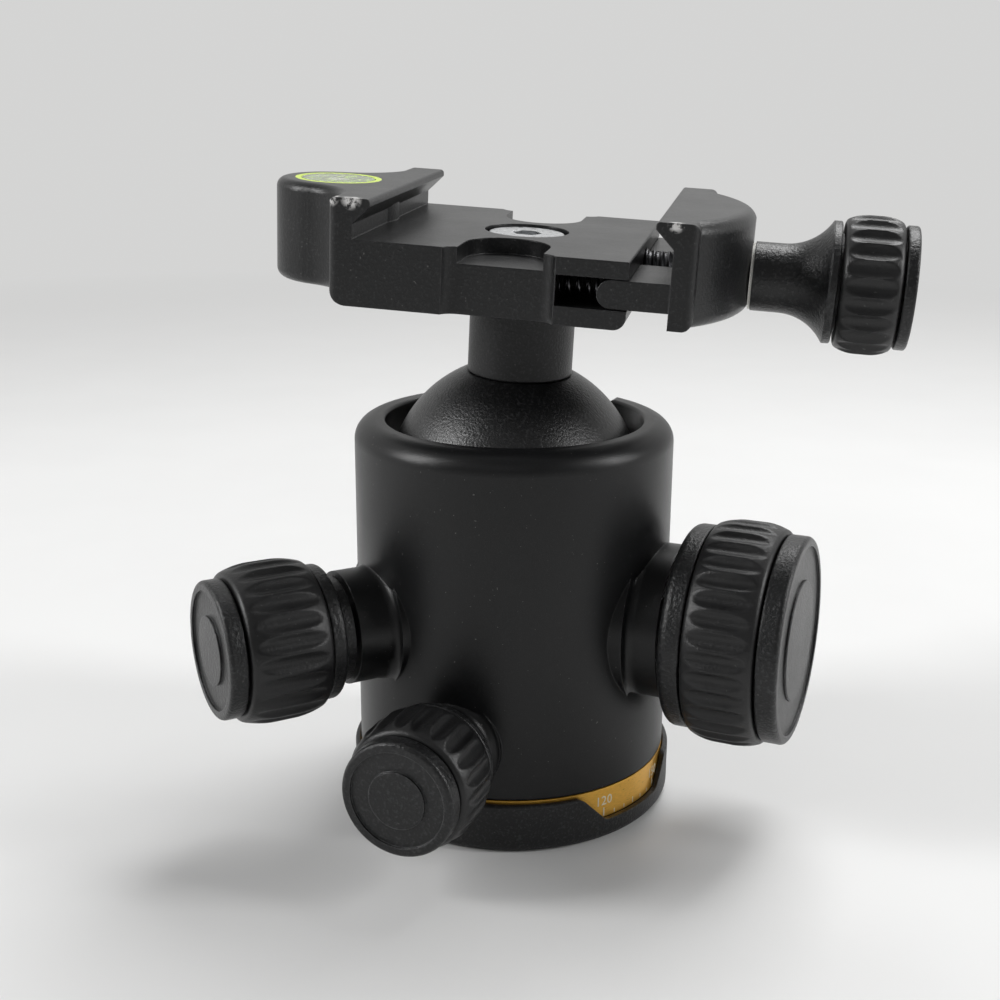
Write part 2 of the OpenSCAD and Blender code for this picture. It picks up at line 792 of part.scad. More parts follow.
module friction_cap_plate() {
    color(BLACK) outwards(friction_az, friction_z)
        translate([0, 0, friction_face + friction_collar + friction_flange + friction_grip
            + 2 * groove_w])
        cap(friction_cap_r, friction_cap, friction_cap_r * 0.5, 0);
}

module pan_hub() {
    color(BLACK) outwards(pan_az, pan_z) translate([0, 0, pan_face])
        hub(pan_collar_r, pan_collar, pan_flange_r, pan_flange, pan_grip, pan_stud_r, 9);
}

module pan_grip_ring() {
    color(RUBBER) outwards(pan_az, pan_z)
        translate([0, 0, pan_face + pan_collar + pan_flange + groove_w])
        grip(pan_grip_r, pan_flange_r - grip_t + snug, pan_grip, pan_flutes);
}

module pan_cap_plate() {
    color(BLACK) outwards(pan_az, pan_z)
        translate([0, 0, pan_face + pan_collar + pan_flange + pan_grip + 2 * groove_w])
        cap(pan_cap_r, pan_cap, pan_cap_r * 0.5, 0);
}

// ---------------------------------------------------------------- ball, stem and clamp

module ball() {
    color(BLACK) head() difference() {
        sphere(ball_r, $fn = 180);
        translate([-ball_r, -ball_r, ball_flat]) cube(2 * ball_r);
        translate([0, 0, ball_flat - 4]) cylinder(r = stem_r * 0.65 + pan_fit, h = ball_r);
        translate([0, 0, ball_flat - bolt_reach - 1]) cylinder(r = bolt_r + pan_fit, h = ball_r);
    }
}

module stem() {
    color(SATIN) head() difference() {
        union() {
            translate([0, 0, ball_flat + 0.05]) turned(stem_r, stem_len - 0.05, 0.25, 0.2);
            translate([0, 0, ball_flat - 3.9]) cylinder(r = stem_r * 0.65, h = 5);
        }
        translate([0, 0, ball_flat - 5]) cylinder(r = bolt_r + snug, h = stem_len + 8);
        translate([stem_r * 0.7, 0, ball_flat + stem_len - 2.5]) cylinder(r = 1 + snug, h = 3);
    }
}

module anti_twist_pin() {
    color(STEEL) head() translate([stem_r * 0.7, 0, ball_flat + stem_len - 2.3])
        cylinder(r = 1, h = 4);
}

module centre_bolt() {
    low = ball_flat - bolt_reach;
    color(STEEL) head() difference() {
        union() {
            translate([0, 0, low]) cylinder(r = bolt_r, h = plate_w - bolt_head_h - low);
            translate([0, 0, plate_w - bolt_head_h - 0.3])
                turned(bolt_head_r, bolt_head_h, 0.1, 0.3);
        }
        translate([0, 0, plate_w - 0.3 - 1.8]) cylinder(r = 2.1, h = 3, $fn = 6);
    }
}

// Side profile of a jaw, root at X=0, body towards +X, nose towards -X
module jaw_side(thick, low, round_low) {
    nose = jaw_h - jaw_wall - over;
    difference() {
        polygon([[0, low], [thick, low], [thick, jaw_h], [-over, jaw_h],
            [-over, jaw_h - nose], [0, jaw_wall]]);
        corner(thick, low, round_low, -1, 1);
        corner(thick, jaw_h, 1.1, -1, -1);
        corner(-over, jaw_h, min(0.5, nose * 0.6), 1, -1);
    }
}

// A jaw's full-length wall, with its outer corners rounded
module jaw_wall_bar(thick, low, round_low) {
    difference() {
        along_jaws(jaw_len) jaw_side(thick, low, round_low);
        for (s = [-1, 1]) translate([0, 0, low - 1]) linear_extrude(jaw_h - low + 2)
            corner(thick, s * jaw_half, jaw_corner, -1, -s);
    }
}

// Domed back of the moving jaw, flat where the knob's neck seats
module dome(thick, reach, low) {
    over_flat = 0.15;
    tall = jaw_h - low;
    sag = reach + over_flat - thick;
    foot = jaw_half - dome_in;
    r = (foot * foot + sag * sag) / (2 * sag);
    intersection() {
        translate([reach + over_flat - r, 0, low]) turned(r, tall, 1.3, 1.8);
        translate([thick - 1, -jaw_half, low - 1]) cube([reach - thick + 1, jaw_len, tall + 2]);
    }
}

// Round block behind the fixed jaw, around the level and swept into the jaw's back
module level_block(thick, low) {
    low_round = 1.3;
    top_round = 1.25;
    tall = jaw_h - low;
    centre = level_edge + level_r;
    r = level_r + level_rim;
    gap = centre - thick;
    span = jaw_half - jaw_corner;
    sweep = min(block_sweep, (span * span - r * r + gap * gap) / (2 * (r + gap)));
    side = sqrt(pow(r + sweep, 2) - pow(gap - sweep, 2));
    touch = r / (r + sweep);
    translate([centre, 0, low]) turned(r, tall, low_round, top_round);
    for (s = [-1, 1]) translate([0, 0, low]) difference() {
        linear_extrude(tall) polygon([[thick - 1, 0], [centre, 0],
            [centre + (sweep - gap) * touch, s * side * touch],
            [thick, s * side], [thick - 1, s * side]]);
        translate([thick + sweep, s * side, -1]) cylinder(r = sweep - eps, h = tall + 2);
        translate([thick + sweep, s * side, 0]) rotate_extrude() {
            corner(sweep - eps, 0, low_round, 1, 1);
            corner(sweep - eps, tall, top_round, 1, -1);
        }
    }
}

module pockets() {
    for (s = [-1, 1]) translate([0, 0, -pocket_d]) linear_extrude(pocket_d + 1) {
        translate([0, s * (pocket_in + pocket_r)]) circle(pocket_r);
        translate([-pocket_r, s > 0 ? pocket_in + pocket_r : -jaw_len])
            square([2 * pocket_r, jaw_len - pocket_in - pocket_r]);
    }
}

module clamp_base() {
    color(SATIN) plate() difference() {
        union() {
            translate([-fixed_root, 0, 0]) mirror([1, 0, 0]) {
                jaw_wall_bar(fixed_t, -plate_t, 2.4);
                level_block(fixed_t, -plate_t);
            }
            along_jaws(jaw_len) difference() {
                translate([-fixed_root - 1, -plate_t]) square([fixed_root + plate_end + 1, plate_t]);
                corner(plate_end, -plate_t, 1.6, -1, 1);
                corner(plate_end, 0, 0.25, -1, -1);
            }
        }
        // guide slots, open at the end and at both sides
        for (s = [-1, 1]) translate([slot_end, s * (web_half + jaw_half) / 2, -tongue_drop])
            along_jaws(jaw_half - web_half + eps) slot_cut();
        // spring pockets
        for (s = [-1, 1]) translate([slot_end + 1, s * coil_v, -tongue_drop]) rotate([0, -90, 0])
            cylinder(r = coil_r + wire_d / 2 + 0.15, h = coil_pocket + 1);
        pockets();
        scoops();
        translate([0, 0, -bolt_head_h - 0.3]) cylinder(r = bolt_recess_r, h = bolt_head_h + 1);
        translate([0, 0, -plate_t - 1]) cylinder(r = bolt_r + snug, h = plate_t);
        translate([stem_r * 0.7, 0, -plate_t - 1]) cylinder(r = 1 + snug, h = 2.9);
        translate([bolt_recess_r + 0.25, 0, -screw_drop]) rotate([0, 90, 0])
            cylinder(r = screw_r + stud_fit, h = plate_end);
        translate([level_u, 0, jaw_h - level_h]) cylinder(r = level_r + snug, h = level_h + 1);
    }
}

// Square-ended slot for a tongue
module slot_cut() {
    half = tongue_t / 2 + tongue_gap;
    translate([0, -half]) square([plate_end - slot_end + 1, 2 * half]);
}

// Shallow finger scoops down the platform's long sides, seen from above
module scoops() {
    soft = 2.2;
    half = pocket_r - 0.3;
    for (s = [-1, 1]) translate([0, 0, -plate_t - 1]) linear_extrude(plate_t + 2) {
        for (e = [-1, 1]) translate([e * half, s * (jaw_half + soft - scoop_d)]) circle(soft);
        translate([-half, s > 0 ? jaw_half - scoop_d : -jaw_half - scoop_d])
            square([2 * half, 2 * scoop_d]);
    }
}

module level_cup() {
    color(PLASTIC) plate() translate([level_u, 0, jaw_h - level_h]) difference() {
        cylinder(r = level_r, h = level_h);
        translate([0, 0, level_wall]) cylinder(r = level_r - level_wall, h = level_h);
    }
}

module level_fluid() {
    h = level_h - level_wall - lens_t;
    color("#c6dc3c") plate() translate([level_u, 0, jaw_h - level_h + level_wall]) difference() {
        cylinder(r = level_r - level_wall - snug, h = h);
        translate([0, 0, h]) bubble_shape();
    }
}

module bubble_shape() {
    sphere(bubble_r);
}

module level_bubble() {
    h = level_h - level_wall - lens_t;
    color("#eef4c8") plate() translate([level_u, 0, jaw_h - level_h + level_wall])
        intersection() {
            translate([0, 0, h]) bubble_shape();
            cylinder(r = level_r, h = h);
        }
}

module level_lens() {
    color("#eef5dd") plate() translate([level_u, 0, jaw_h - lens_t])
        turned(level_r - level_wall - snug, lens_t, 0.05, 0.2);
}

module moving_jaw() {
    color(SATIN) plate() difference() {
        union() {
            translate([moving_root, 0, 0]) {
                jaw_wall_bar(moving_t, -plate_t + 0.5, 1.3);
                dome(moving_t, moving_bump, -plate_t + 0.5);
            }
            for (s = [-1, 1]) translate([moving_root - tongue_len,
                s * (web_half + jaw_half) / 2, -tongue_drop]) tongue();
        }
        translate([moving_root - 1, 0, -screw_drop]) rotate([0, 90, 0])
            cylinder(r = screw_r + 0.1, h = moving_bump + 3);
        translate([moving_root - 1, 0, -screw_drop]) rotate([0, 90, 0])
            cylinder(r = screw_r + 1.8, h = 2.3);
    }
}

// Guide tongue with a round nose, root inside the jaw
module tongue() {
    half = tongue_t / 2;
    width = jaw_half - web_half - 0.5;
    along_jaws(width) {
        translate([half, 0]) circle(half);
        translate([half, -half]) square([tongue_len - half + 1, tongue_t]);
    }
}

// ---------------------------------------------------------------- jaw springs

coil_v = jaw_half - coil_in;
coil_from = slot_end - coil_pocket + 0.1;
coil_to = moving_root - tongue_len - 0.1;
rings_per_turn = 8;
wire_sides = 6;
coil_rings = coil_turns * rings_per_turn;
coil_pitch = (coil_to - coil_from - wire_d) / coil_turns;

function coil_point(i) = let (a = 360 * i / rings_per_turn) [
    coil_r * cos(a), coil_r * sin(a), wire_d / 2 + coil_pitch * i / rings_per_turn];
function unit(v) = v / norm(v);
// One ring of wire: a circle square to the helix
function wire_ring(i) = let (
        p = coil_point(i),
        a = 360 * i / rings_per_turn,
        t = unit([-sin(a) * coil_r * 2 * PI, cos(a) * coil_r * 2 * PI, coil_pitch]),
        n = [cos(a), sin(a), 0],
        b = cross(t, n))
    [for (k = [0 : wire_sides - 1]) let (c = 360 * k / wire_sides)
        p + (n * cos(c) + b * sin(c)) * wire_d / 2];
wire_points = [for (i = [0 : coil_rings]) each wire_ring(i)];
wire_sides_faces = [for (i = [0 : coil_rings - 1], k = [0 : wire_sides - 1])
    let (a = i * wire_sides + k, b = i * wire_sides + (k + 1) % wire_sides)
    each [[a, b, a + wire_sides], [b, b + wire_sides, a + wire_sides]]];
wire_ends = [for (k = [1 : wire_sides - 2])
    each [[0, k + 1, k], let (z = coil_rings * wire_sides) [z, z + k, z + k + 1]]];
// Least gap between neighbouring turns, measured on the helix's points
coil_gap = min([for (i = [0 : rings_per_turn - 1], j = [rings_per_turn - 2 : rings_per_turn + 2])
    norm(coil_point(i) - coil_point(i + j))]) - wire_d;
echo(least_gap_between_turns = coil_gap);

module jaw_springs() {
    color(STEEL) plate() for (s = [-1, 1])
        translate([coil_from, s * coil_v, -tongue_drop]) rotate([0, 90, 0])
        polyhedron(wire_points, concat(wire_sides_faces, wire_ends));
}

// ---------------------------------------------------------------- clamp screw and knob

module clamp_screw() {
    tip = bolt_recess_r + 0.4 + jaw_open;
    color(STEEL) screw_line() difference() {
        translate([0, 0, tip]) cylinder(r = screw_r, h = knob_u + neck + 4 - tip);
        translate([0, 0, moving_root + 0.3]) ring(screw_r + 1, screw_r - 0.5, 0.7);
    }
}

module clamp_clip() {
    color(STEEL) screw_line() translate([0, 0, moving_root + 0.35]) difference() {
        ring(screw_r + 1.3, screw_r - 0.48, 0.6);
        translate([0, -0.9, -1]) cube([screw_r + 3, 1.8, 3]);
    }
}

module clamp_washer_ring() {
    color(PLASTIC) screw_line() translate([0, 0, knob_u + 0.02])
        ring(neck_r - 0.2, screw_r + stud_fit, clamp_washer);
}

neck_u = knob_u + 0.04 + clamp_washer;
disc_u = neck_u + neck + flare;

module clamp_knob_hub() {
    drop = clamp_disc_r - neck_r;
    // concave arc from the neck up to the disc
    arc = (drop * drop + flare * flare) / (2 * drop);
    color(SATIN) screw_line() translate([0, 0, neck_u]) difference() {
        union() {
            cylinder(r = neck_r, h = neck + flare);
            translate([0, 0, neck]) rotate_extrude() difference() {
                square([clamp_disc_r, flare]);
                translate([neck_r + arc, 0]) circle(arc, $fn = 160);
                translate([neck_r + eps, -arc]) square([clamp_disc_r, arc]);
            }
            translate([0, 0, neck + flare - eps]) turned(clamp_disc_r, clamp_disc, 0.15, 0.25);
            translate([0, 0, neck + flare]) cylinder(r = clamp_disc_r - grip_t + 1,
                h = clamp_disc + clamp_grip + 2 * groove_w + 0.1);
        }
        translate([0, 0, -1]) cylinder(r = screw_r + snug, h = neck + 5);
        ring(clamp_disc_r + 1, neck_r, neck);
    }
}

module clamp_knob_grip() {
    color(RUBBER) screw_line() translate([0, 0, disc_u + clamp_disc + groove_w + 0.1])
        grip(clamp_grip_r, clamp_disc_r - grip_t + 1 + snug, clamp_grip, clamp_flutes);
}

module clamp_knob_cap() {
    color(BLACK) screw_line()
        translate([0, 0, disc_u + clamp_disc + clamp_grip + 2 * groove_w + 0.1])
        cap(clamp_cap_r, clamp_cap, clamp_cap_r * 0.5, 0);
}

// ---------------------------------------------------------------- one name at a time

base_disc();
base_screws();
pan_spindle();
pan_washer();
thrust_washer();
spindle_nut();
housing();
degree_ring();
pan_bearing();
upper_seat();
lower_cup();
disc_springs();
bush(main_az, main_z, main_stud_r, bush_wall, main_boss);  // main_bush
bush(friction_az, friction_z, friction_stud_r, bush_wall * 0.75, friction_boss);  // friction_bush
bush(pan_az, pan_z, pan_stud_r, bush_wall * 0.6, pan_boss);  // pan_bush
seat_liner();
ball();
stem();
anti_twist_pin();
centre_bolt();
clamp_base();
level_cup();
level_fluid();
level_bubble();
level_lens();
jaw_springs();
moving_jaw();
clamp_screw();
clamp_clip();
clamp_washer_ring();
clamp_knob_hub();
clamp_knob_grip();
clamp_knob_cap();
brake_tip(main_az, main_z, main_stud_r - 0.6, bore_r - tip_reach, main_tail);  // main_tip
stud(main_az, main_z, main_stud_r, main_tail, main_face + 8);  // main_stud
main_hub();
main_grip_ring();
main_cap_plate();
main_cap_disc();
brake_tip(friction_az, friction_z, friction_stud_r - 0.1, bore_r - tip_reach, main_tail);  // friction_tip
stud(friction_az, friction_z, friction_stud_r, main_tail, friction_face + 9);  // friction_stud
friction_hub();
friction_grip_ring();
friction_cap_plate();
brake_tip(pan_az, pan_z, pan_stud_r - 0.1, pan_nose, spindle_r + 2.4);  // pan_tip
stud(pan_az, pan_z, pan_stud_r, spindle_r + 2.4, pan_face + 8);  // pan_stud
pan_hub();
pan_grip_ring();
pan_cap_plate();
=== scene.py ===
"""Looks for the tripod ball head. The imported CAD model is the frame; each piece rides on its bodies."""

import math

import bpy
import numpy as np
from mathutils import Matrix, Vector


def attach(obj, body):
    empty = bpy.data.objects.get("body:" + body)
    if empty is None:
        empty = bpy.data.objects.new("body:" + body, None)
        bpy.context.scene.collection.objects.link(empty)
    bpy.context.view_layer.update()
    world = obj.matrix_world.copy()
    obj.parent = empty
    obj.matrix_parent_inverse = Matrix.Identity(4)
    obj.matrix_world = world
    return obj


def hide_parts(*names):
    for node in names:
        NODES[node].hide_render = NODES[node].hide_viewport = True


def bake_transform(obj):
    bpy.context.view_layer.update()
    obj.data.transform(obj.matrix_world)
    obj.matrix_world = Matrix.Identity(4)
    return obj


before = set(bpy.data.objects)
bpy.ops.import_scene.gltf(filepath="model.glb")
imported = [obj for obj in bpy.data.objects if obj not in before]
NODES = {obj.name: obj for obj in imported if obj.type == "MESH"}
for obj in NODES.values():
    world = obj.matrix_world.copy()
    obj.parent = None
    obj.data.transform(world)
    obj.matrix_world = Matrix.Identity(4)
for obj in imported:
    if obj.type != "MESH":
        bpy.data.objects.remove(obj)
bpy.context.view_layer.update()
MM = 0.001

# ---------------------------------------------------------------- camera

FOCAL_PX = 1396.3
IMAGE_PX = 1000
SENSOR_MM = 36.0
PRINCIPAL = (513.3, 494.4)
CAM_AT = Vector((-0.05, -193.68, 101.10)) * MM
PITCH = math.radians(16.27)
ROLL = math.radians(0.50)


def add_camera():
    data = bpy.data.cameras.new("camera")
    data.sensor_width = SENSOR_MM
    data.lens = FOCAL_PX / IMAGE_PX * SENSOR_MM
    data.shift_x = (IMAGE_PX / 2 - PRINCIPAL[0]) / IMAGE_PX
    data.shift_y = (PRINCIPAL[1] - IMAGE_PX / 2) / IMAGE_PX
    data.clip_start = 0.01
    data.clip_end = 20
    cam = bpy.data.objects.new("camera", data)
    bpy.context.scene.collection.objects.link(cam)
    forward = Vector((0, math.cos(PITCH), -math.sin(PITCH)))
    up0 = Vector((0, math.sin(PITCH), math.cos(PITCH)))
    right0 = Vector((1, 0, 0))
    right = right0 * math.cos(ROLL) + up0 * math.sin(ROLL)
    up = up0 * math.cos(ROLL) - right0 * math.sin(ROLL)
    rot = Matrix((right, up, -forward)).transposed()
    cam.matrix_world = Matrix.Translation(CAM_AT) @ rot.to_4x4()
    bpy.context.scene.camera = cam
    return cam


camera = add_camera()

# ---------------------------------------------------------------- places, as in the CAD (mm)

BALL_Z = 46.6
BODY_R = 22.65
LEAN = (2.4, -2.9)
HEAD_YAW = -11.0
PLATE_W = 35.917
SCREW_DROP = 3.6
MAIN_AZ, MAIN_Z = 67.0, 29.0
FRICTION_AZ, FRICTION_Z = -61.3, 29.0
PAN_AZ, PAN_Z = -21.5, 15.05


def outwards(az, z):
    """Local +Z points outwards along a knob's axis, from the housing's axis."""
    a = math.radians(az - 90)
    return (
        Matrix.Translation(Vector((0, 0, z)) * MM)
        @ Matrix.Rotation(a, 4, "Z")
        @ Matrix.Rotation(math.pi / 2, 4, "Y")
    )


def head():
    lean = math.hypot(*LEAN)
    tilt = Matrix.Rotation(math.radians(lean), 4, Vector((-LEAN[1], LEAN[0], 0)))
    turn = Matrix.Rotation(math.radians(HEAD_YAW), 4, "Z")
    return Matrix.Translation(Vector((0, 0, BALL_Z)) * MM) @ tilt @ turn


HEAD = head()
PLATE = HEAD @ Matrix.Translation(Vector((0, 0, PLATE_W)) * MM)
SCREW = PLATE @ Matrix.Translation(Vector((0, 0, -SCREW_DROP)) * MM)
SCREW = SCREW @ Matrix.Rotation(math.pi / 2, 4, "Y")

# ---------------------------------------------------------------- material helpers


class Graph:
    """A material's node tree, built call by call."""

    def __init__(self, name):
        self.material = bpy.data.materials.new(name)
        self.material.use_nodes = True
        self.tree = self.material.node_tree
        self.shader = self.tree.nodes["Principled BSDF"]
        self.coords = self.node("ShaderNodeTexCoord").outputs["Object"]

    def node(self, kind, **settings):
        n = self.tree.nodes.new(kind)
        for key, value in settings.items():
            setattr(n, key, value)
        return n

    def link(self, out, into):
        self.tree.links.new(out, into)

    def set(self, **values):
        for key, value in values.items():
            self.shader.inputs[key.replace("_", " ")].default_value = value
        return self

    def noise(self, scale, detail=2.0, rough=0.5, coords=None, squeeze=None):
        src = coords or self.coords
        if squeeze:
            m = self.node("ShaderNodeMapping")
            m.inputs["Scale"].default_value = squeeze
            self.link(src, m.inputs["Vector"])
            src = m.outputs["Vector"]
        n = self.node("ShaderNodeTexNoise")
        n.inputs["Scale"].default_value = scale
        n.inputs["Detail"].default_value = detail
        n.inputs["Roughness"].default_value = rough
        self.link(src, n.inputs["Vector"])
        return n.outputs["Fac"]

    def ramp(self, value, *stops):
        """stops are (position, grey or colour)."""
        r = self.node("ShaderNodeValToRGB").color_ramp
        node = self.tree.nodes[-1]
        while len(r.elements) > 1:
            r.elements.remove(r.elements[0])
        for i, (at, colour) in enumerate(stops):
            e = r.elements[0] if i == 0 else r.elements.new(at)
            e.position = at
            c = (colour,) * 3 if isinstance(colour, (int, float)) else colour
            e.color = (*c[:3], 1)
        self.link(value, node.inputs["Fac"])
        return node.outputs["Color"]

    def math(self, op, a, b=None, clamp=False):
        n = self.node("ShaderNodeMath", operation=op, use_clamp=clamp)
        for i, x in enumerate((a, b)):
            if x is None:
                continue
            if isinstance(x, (int, float)):
                n.inputs[i].default_value = x
            else:
                self.link(x, n.inputs[i])
        return n.outputs[0]

    def mix(self, factor, a, b):
        n = self.node("ShaderNodeMix", data_type="RGBA")
        for name, x in (("Factor", factor), ("A", a), ("B", b)):
            kind = "VALUE" if name == "Factor" else "RGBA"
            socket = [s for s in n.inputs if s.name == name and s.type == kind][0]
            if isinstance(x, (int, float)):
                socket.default_value = x
            elif isinstance(x, tuple):
                socket.default_value = (*x[:3], 1)
            else:
                self.link(x, socket)
        return [s for s in n.outputs if s.type == "RGBA"][0]

    def near(self, point_mm, radius_mm, soft=0.5):
        """1 within radius of a point of the row frame, falling to 0."""
        n = self.node("ShaderNodeVectorMath", operation="DISTANCE")
        self.link(self.coords, n.inputs[0])
        n.inputs[1].default_value = Vector(point_mm) * MM
        d = self.math("DIVIDE", n.outputs["Value"], radius_mm * MM)
        return self.ramp(d, (1 - soft, 1.0), (1.0, 0.0))

    def rounded(self, radius_mm=0.25):
        """The normal as if every sharp edge were rounded a little."""
        n = self.node("ShaderNodeBevel", samples=4)
        n.inputs["Radius"].default_value = radius_mm * MM
        return n.outputs["Normal"]

    def edges(self, normal, low=0.90, high=0.985):
        """1 on edges, 0 on flat surfaces, from a rounded normal."""
        n = self.node("ShaderNodeVectorMath", operation="DOT_PRODUCT")
        self.link(normal, n.inputs[0])
        self.link(self.node("ShaderNodeNewGeometry").outputs["Normal"], n.inputs[1])
        return self.ramp(n.outputs["Value"], (low, 1.0), (high, 0.0))

    def bump(self, height, strength, distance_mm, below=None):
        b = self.node("ShaderNodeBump")
        b.inputs["Strength"].default_value = strength
        b.inputs["Distance"].default_value = distance_mm * MM
        self.link(height, b.inputs["Height"])
        if below is not None:
            self.link(below, b.inputs["Normal"])
        return b.outputs["Normal"]

    def finish(self, colour=None, rough=None, normal=None):
        for name, out in (("Base Color", colour), ("Roughness", rough), ("Normal", normal)):
            if out is not None:
                self.link(out, self.shader.inputs[name])
        return self.material


def anodised(name, tone, rough, grain_scale, grain_depth, shine=0.5, painted_sparkle=0.3, wear=0.35, pale_corner_spots=()):
    """Black anodised aluminium: blasted grain with painted glints, faint smears, dust, and edges rubbed
    brighter.
    """
    g = Graph(name).set(Metallic=0.0, IOR=1.5, Specular_IOR_Level=shine)
    fine = g.noise(grain_scale, 3.0, 0.6)
    smear = g.noise(60.0, 4.0, 0.6)
    dark, light = (tuple(t * k for t in tone) for k in (0.85, 1.15))
    base = g.mix(g.ramp(smear, (0.35, 0.0), (0.7, 1.0)), dark, light)
    # Painted highlight: bright specks of the grain are painted into the base colour as glints of light.
    painted_glints = g.ramp(fine, (0.53, 0.0), (0.68, painted_sparkle))
    colour = g.mix(painted_glints, base, tuple(min(1, t * 5.0 + 0.03) for t in tone))
    specks = g.ramp(g.noise(2600.0, 1.0, 0.5), (0.765, 0.0), (0.80, 0.5))
    colour = g.mix(specks, colour, (0.16, 0.155, 0.15))
    soft = g.rounded()
    edge = g.edges(soft)
    rubbed = g.math("MULTIPLY", edge, g.ramp(g.noise(420.0, 4.0, 0.7), (0.40, 0.25), (0.62, 1.0)))
    colour = g.mix(g.math("MULTIPLY", rubbed, wear), colour, (0.16, 0.16, 0.165))
    mask = None
    # The listed corners turn the colour near white in noisy spots.
    for point, radius in pale_corner_spots:
        spot = g.near(point, radius)
        patch = g.math("MULTIPLY", spot, g.ramp(g.noise(1500.0, 3.0, 0.7), (0.42, 0.0), (0.56, 1.0)))
        mask = patch if mask is None else g.math("MAXIMUM", mask, patch)
    if mask is not None:
        colour = g.mix(mask, colour, (0.62, 0.61, 0.60))
    roughness = g.ramp(smear, (0.3, rough - 0.05), (0.75, rough + 0.05))
    return g.finish(colour, roughness, g.bump(fine, grain_depth, 0.16, soft))


def rubber(name):
    g = Graph(name).set(Metallic=0.0, IOR=1.5, Specular_IOR_Level=0.45)
    fine = g.noise(2600.0, 3.0, 0.65)
    patch = g.noise(160.0, 3.0, 0.6)
    dark, light = (0.005, 0.005, 0.0054), (0.010, 0.010, 0.0104)
    colour = g.mix(g.ramp(patch, (0.35, 0.0), (0.7, 1.0)), dark, light)
    dust = g.ramp(g.noise(2300.0, 1.0, 0.5), (0.72, 0.0), (0.79, 0.4))
    colour = g.mix(dust, colour, (0.11, 0.11, 0.108))
    return g.finish(colour, g.ramp(patch, (0.3, 0.36), (0.7, 0.48)), g.bump(fine, 0.6, 0.08))


def plain_metal(name, colour, rough, metallic=1.0, stretch=None):
    g = Graph(name).set(Metallic=metallic)
    lines = g.noise(1400.0, 3.0, 0.6, squeeze=stretch)
    tone = g.mix(g.ramp(lines, (0.3, 0.0), (0.7, 1.0)), tuple(c * 0.82 for c in colour), colour)
    roughness = g.ramp(lines, (0.3, rough * 0.8), (0.7, rough * 1.25))
    return g.finish(tone, roughness, g.bump(lines, 0.2, 0.01, g.rounded(0.15)))


def matte_plastic(name, colour, rough=0.5):
    g = Graph(name).set(Metallic=0.0)
    n = g.noise(900.0, 2.0, 0.5)
    tone = g.mix(g.ramp(n, (0.3, 0.0), (0.7, 1.0)), tuple(c * 0.9 for c in colour), colour)
    return g.finish(tone, g.ramp(n, (0.3, rough * 0.9), (0.7, rough * 1.1)), g.bump(n, 0.15, 0.01))


def clear_plastic(name, colour, clear, rough=0.06):
    g = Graph(name).set(Metallic=0.0, IOR=1.3, Transmission_Weight=clear)
    n = g.noise(500.0, 2.0, 0.5)
    tone = g.mix(g.ramp(n, (0.3, 0.0), (0.7, 1.0)), tuple(c * 0.94 for c in colour), colour)
    return g.finish(tone, g.ramp(n, (0.3, rough * 0.7), (0.7, rough * 1.3)))


def on_head(u, v, w):
    """A point in mm along the clamp's own axes, from the platform's centre, as a point of the row."""
    return tuple(PLATE @ (Vector((u, v, w)) * MM) / MM)


# Corners of the jaws where the colour turns near white in noisy spots, with the radius of each spot in
# mm.
CORNERS = [
    (on_head(-18.9, -18.9, 5.0), 1.5),
    (on_head(-21.6, -18.7, 5.0), 1.3),
    (on_head(21.5, -18.9, 5.0), 1.2),
]

M = {
    "body": anodised(
        "black_body", (0.0060, 0.0062, 0.0066),
        0.36, 7000.0, 0.10, shine=0.32, painted_sparkle=0.10, wear=0.15,
    ),
    "clamp": anodised(
        "black_clamp", (0.0062, 0.0064, 0.0068),
        0.34, 2600.0, 0.30, shine=0.38, painted_sparkle=0.22, pale_corner_spots=CORNERS,
    ),
    "blasted": anodised(
        "black_blasted", (0.0060, 0.0061, 0.0065),
        0.35, 2700.0, 0.62, shine=0.65, painted_sparkle=0.5, wear=0.0,
    ),
    "stem": anodised(
        "black_stem", (0.0060, 0.0061, 0.0065),
        0.42, 3000.0, 0.45, shine=0.35, painted_sparkle=0.3, wear=0.1,
    ),
    "base": anodised(
        "black_base", (0.0085, 0.0087, 0.0092),
        0.44, 2700.0, 0.6, shine=0.4, painted_sparkle=0.35,
    ),
    "knob": anodised(
        "black_knob", (0.0066, 0.0068, 0.0072),
        0.36, 2300.0, 0.75, shine=0.42, painted_sparkle=0.4, wear=0.7,
    ),
    "rubber": rubber("grip_rubber"),
    "steel": plain_metal("steel", (0.62, 0.63, 0.64), 0.3),
    "spring": plain_metal("spring_steel", (0.20, 0.20, 0.21), 0.32),
    "brass": plain_metal("brass", (0.72, 0.52, 0.24), 0.3),
    "gold": plain_metal("gold_anodised", (0.90, 0.50, 0.085), 0.34, 0.7, (1, 1, 7)),
    "screw": plain_metal("dark_steel", (0.10, 0.10, 0.105), 0.36),
    "plastic": matte_plastic("white_plastic", (0.8, 0.79, 0.74)),
    "cup": matte_plastic("level_cup", (0.66, 0.84, 0.10), 0.35),
    "liquid": clear_plastic("level_liquid", (0.62, 0.88, 0.07), 0.5),
    # The bubble is a real part; its near-white tone is partly a painted highlight.
    "bubble": clear_plastic("level_bubble", (0.94, 0.98, 0.80), 0.35),
    "lens": clear_plastic("level_lens", (0.97, 1.0, 0.93), 0.92, 0.03),
    "line": matte_plastic("level_line", (0.02, 0.05, 0.01), 0.4),
    "marks": matte_plastic("dial_marks", (0.86, 0.80, 0.62), 0.5),
}

